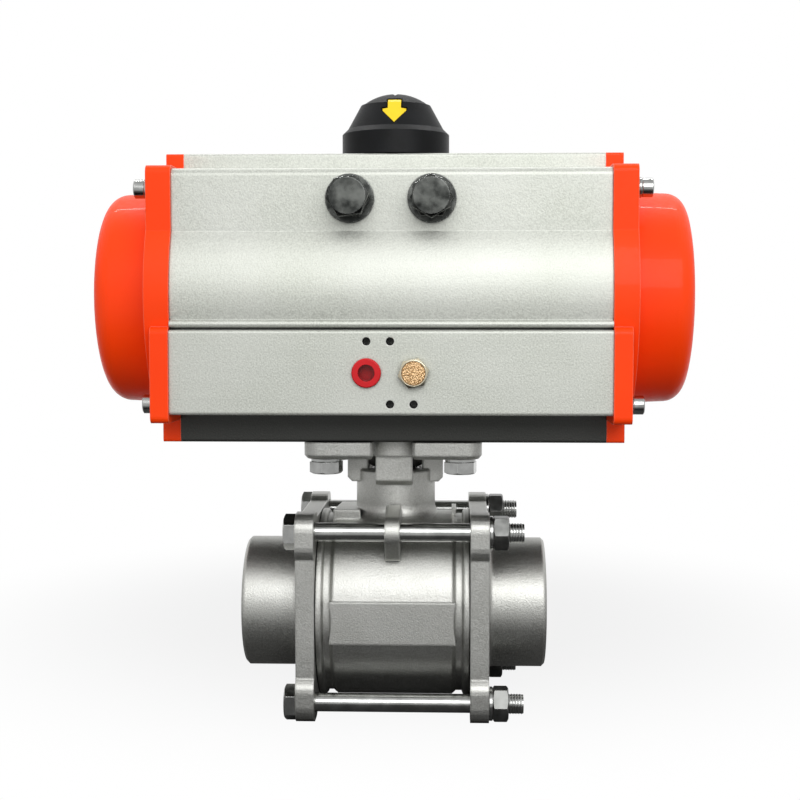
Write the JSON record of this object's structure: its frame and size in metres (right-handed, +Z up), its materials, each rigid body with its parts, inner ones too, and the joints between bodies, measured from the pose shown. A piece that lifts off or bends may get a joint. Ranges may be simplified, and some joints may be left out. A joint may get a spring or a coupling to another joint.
{
  "type": "pneumatic actuated ball valve",
  "caption": "Quarter-turn ball valve with weld sockets, driven by a rack-and-pinion air actuator with spring return and a dome position indicator.",
  "frame": {"origin": "centre of the ball, where the pipe axis meets the stem axis", "axes": "+X along the pipe, -Y towards the actuator's port face, +Z up the stem"},
  "size_m": [0.322, 0.1635, 0.3389],
  "materials": {
    "anodised_aluminium": "blasted and clear anodised",
    "orange_paint": "glossy orange-red enamel",
    "stainless_steel": "machined stainless steel",
    "cast_stainless": "shot-blasted stainless casting",
    "dark_steel": "polished dark steel",
    "black_plastic": "matt black moulding",
    "yellow_plastic": "satin yellow inlay",
    "red_plastic": "glossy red moulding",
    "sintered_bronze": "grainy sintered bronze",
    "bearing_plastic": "natural acetal",
    "seal_rubber": "black nitrile",
    "seal_ptfe": "white PTFE",
    "spring_steel": "blue epoxy coat"
  },
  "bodies": {
    "housing": {"actuator_body": "anodised_aluminium", "end_cap_left": "orange_paint", "end_cap_right": "orange_paint", "cap_seal_left": "seal_rubber", "cap_seal_right": "seal_rubber", "cap_screws_left": "stainless_steel", "cap_screws_right": "stainless_steel", "stop_screws": "dark_steel", "stop_lock_nuts": "dark_steel", "stop_washers": "stainless_steel", "port_plug": "red_plastic", "breather_vent": "dark_steel", "breather_filter": "sintered_bronze", "shaft_bearing_lower": "bearing_plastic", "shaft_bearing_upper": "bearing_plastic", "shaft_seal_lower": "seal_rubber", "shaft_seal_upper": "seal_rubber", "spring_set_left": "spring_steel", "spring_set_right": "spring_steel", "valve_body": "cast_stainless", "end_connector_left": "cast_stainless", "end_connector_right": "cast_stainless", "body_seal_left": "seal_ptfe", "body_seal_right": "seal_ptfe", "seat_left": "seal_ptfe", "seat_right": "seal_ptfe", "stem_thrust_washer": "seal_ptfe", "stem_packing": "seal_ptfe", "gland_ring": "stainless_steel", "body_bolts": "stainless_steel", "body_nuts": "stainless_steel", "body_washers": "stainless_steel", "mounting_bolts": "stainless_steel", "mounting_washers": "stainless_steel"},
    "rotor": {"pinion_shaft": "stainless_steel", "stop_cam": "dark_steel", "shaft_thrust_washer": "bearing_plastic", "shaft_retaining_ring": "dark_steel", "drive_sleeve": "dark_steel", "indicator_cap": "black_plastic", "indicator_arrows": "yellow_plastic", "indicator_screw": "stainless_steel", "ball": "stainless_steel", "valve_stem": "stainless_steel", "disc_springs": "dark_steel", "gland_nut": "stainless_steel"},
    "piston_left": {"piston_left": "anodised_aluminium", "piston_seal_left": "seal_rubber", "piston_guide_left": "bearing_plastic", "rack_pad_left": "bearing_plastic"},
    "piston_right": {"piston_right": "anodised_aluminium", "piston_seal_right": "seal_rubber", "piston_guide_right": "bearing_plastic", "rack_pad_right": "bearing_plastic"}
  },
  "joints": [
    {"name": "shaft_turn", "type": "hinge", "parent": "housing", "child": "rotor", "pos_m": [0, 0, 0], "axis": [0, 0, 1], "range_deg": [0, 90], "stiffness_Nm_per_rad": 5, "springref_deg": -34.38},
    {"name": "piston_left_slide", "type": "slide", "parent": "housing", "child": "piston_left", "axis": [-1, 0, 0], "range_m": [0, 0.0393], "deforming": ["spring_set_left"]},
    {"name": "piston_right_slide", "type": "slide", "parent": "housing", "child": "piston_right", "axis": [1, 0, 0], "range_m": [0, 0.0393], "deforming": ["spring_set_right"]}
  ],
  "couplings": [
    {"joint": "piston_left_slide", "follows": "shaft_turn", "m_per_rad": 0.025},
    {"joint": "piston_right_slide", "follows": "shaft_turn", "m_per_rad": 0.025}
  ]
}
